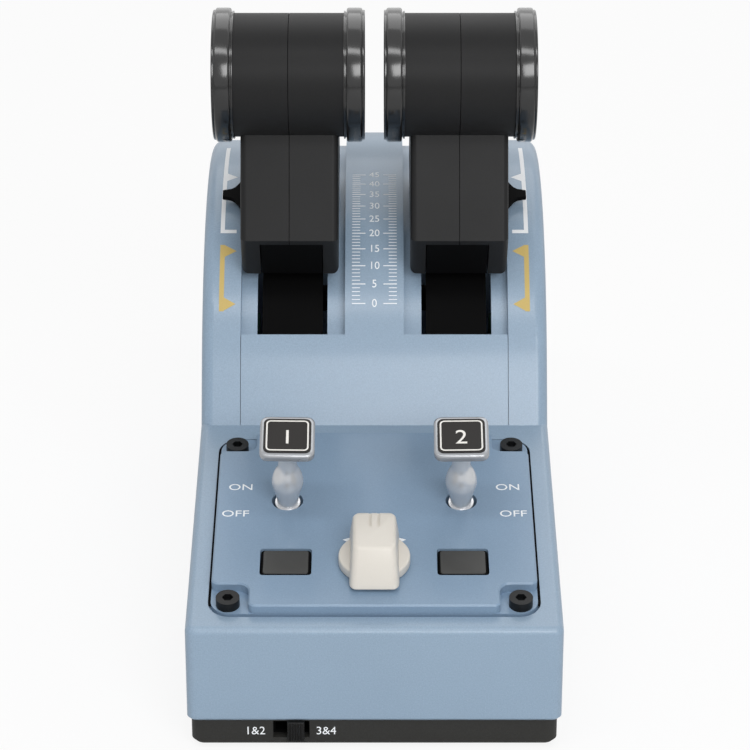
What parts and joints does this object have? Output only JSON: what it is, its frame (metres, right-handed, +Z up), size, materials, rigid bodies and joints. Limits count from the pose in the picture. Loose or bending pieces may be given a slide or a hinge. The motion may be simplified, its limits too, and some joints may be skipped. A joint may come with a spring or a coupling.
{
  "type": "throttle quadrant",
  "caption": "Desktop throttle quadrant with two thrust levers over a scaled hump and an engine panel with toggles, a rotary selector and push buttons.",
  "frame": {"origin": "middle of the bounding box at its bottom, on the table under the feet", "axes": "+X to the user's right, +Y away from the user, +Z up"},
  "size_m": [0.115, 0.2422, 0.1919],
  "materials": {
    "housing_blue": "fine textured moulding",
    "base_black": "fine textured moulding",
    "rubber_black": "matt rubber",
    "panel_blue": "satin moulding",
    "screw_steel": "machined",
    "spring_steel": "plain",
    "board_green": "solder mask",
    "switch_black": "plain",
    "bracket_grey": "glass-filled moulding",
    "bearing_brass": "turned",
    "washer_felt": "pressed felt",
    "lever_black": "plain",
    "lever_charcoal": "fine textured moulding",
    "ring_dark": "fine textured moulding",
    "button_red": "satin",
    "marker_black": "satin",
    "toggle_metal": "silver satin",
    "cap_grey": "satin",
    "label_black": "printed insert",
    "knob_cream": "satin",
    "button_dark": "satin",
    "screw_black": "blackened"
  },
  "bodies": {
    "housing": {"base_tray": "base_black", "rubber_feet": "rubber_black", "base_screws": "screw_steel", "ballast_plate": "spring_steel", "main_board": "board_green", "usb_socket": "spring_steel", "upper_housing": "housing_blue", "centre_cover": "housing_blue", "panel_plate": "panel_blue", "panel_screws": "screw_black", "panel_board": "board_green", "toggle_switch_left": "switch_black", "toggle_switch_right": "switch_black", "selector_switch": "switch_black", "button_switches": "switch_black", "slide_switch": "switch_black", "main_shaft": "screw_steel", "shaft_clips": "spring_steel", "bracket_left": "bracket_grey", "bracket_right": "bracket_grey", "bracket_centre": "bracket_grey", "bracket_screws": "screw_steel", "spacer_sleeves": "bearing_brass", "friction_washers": "washer_felt", "detent_plate_left": "bracket_grey", "detent_plate_right": "bracket_grey", "sensor_boards": "board_green"},
    "lever_left": {"lever_arm_left": "lever_black", "shell_outer_left": "lever_charcoal", "shell_inner_left": "lever_charcoal", "ring_outer_left": "ring_dark", "ring_inner_left": "ring_dark", "pointer_left": "marker_black", "bush_left": "bearing_brass", "plunger_left": "screw_steel", "shell_screws_left": "screw_steel"},
    "disconnect_left": {"disconnect_button_left": "button_red"},
    "toggle_left": {"toggle_bat_left": "toggle_metal", "toggle_cap_left": "cap_grey", "toggle_label_left": "label_black"},
    "button_left": {"push_button_left": "button_dark"},
    "lever_right": {"lever_arm_right": "lever_black", "shell_outer_right": "lever_charcoal", "shell_inner_right": "lever_charcoal", "ring_outer_right": "ring_dark", "ring_inner_right": "ring_dark", "pointer_right": "marker_black", "bush_right": "bearing_brass", "plunger_right": "screw_steel", "shell_screws_right": "screw_steel"},
    "disconnect_right": {"disconnect_button_right": "button_red"},
    "toggle_right": {"toggle_bat_right": "toggle_metal", "toggle_cap_right": "cap_grey", "toggle_label_right": "label_black"},
    "button_right": {"push_button_right": "button_dark"},
    "selector": {"selector_knob": "knob_cream"},
    "slider": {"slide_knob": "base_black"}
  },
  "joints": [
    {"name": "lever_left_turn", "type": "hinge", "parent": "housing", "child": "lever_left", "pos_m": [-0.0274, 0.07422, 0.0352], "axis": [1, 0, 0], "range_deg": [-25, 27.5]},
    {"name": "disconnect_left_press", "type": "slide", "parent": "lever_left", "child": "disconnect_left", "axis": [1, 0, 0], "range_m": [0, 0.0015], "stiffness_N_per_m": 300},
    {"name": "toggle_left_flip", "type": "hinge", "parent": "housing", "child": "toggle_left", "pos_m": [-0.0276, -0.06124, 0.05266], "axis": [1, 0, 0], "range_deg": [-22.8, 0]},
    {"name": "button_left_press", "type": "slide", "parent": "housing", "child": "button_left", "axis": [0, 0.1852, -0.9827], "range_m": [0, 0.0012], "stiffness_N_per_m": 300},
    {"name": "lever_right_turn", "type": "hinge", "parent": "housing", "child": "lever_right", "pos_m": [0.0274, 0.07422, 0.0352], "axis": [1, 0, 0], "range_deg": [-25, 27.5]},
    {"name": "disconnect_right_press", "type": "slide", "parent": "lever_right", "child": "disconnect_right", "axis": [-1, 0, 0], "range_m": [0, 0.0015], "stiffness_N_per_m": 300},
    {"name": "toggle_right_flip", "type": "hinge", "parent": "housing", "child": "toggle_right", "pos_m": [0.0276, -0.06124, 0.05266], "axis": [1, 0, 0], "range_deg": [-22.8, 0]},
    {"name": "button_right_press", "type": "slide", "parent": "housing", "child": "button_right", "axis": [0, 0.1852, -0.9827], "range_m": [0, 0.0012], "stiffness_N_per_m": 300},
    {"name": "selector_turn", "type": "hinge", "parent": "housing", "child": "selector", "pos_m": [0, -0.09342, 0.05117], "axis": [0, -0.1852, 0.9827], "range_deg": [-37, 37]},
    {"name": "slider_move", "type": "slide", "parent": "housing", "child": "slider", "axis": [-1, 0, 0], "range_m": [0, 0.003]}
  ]
}
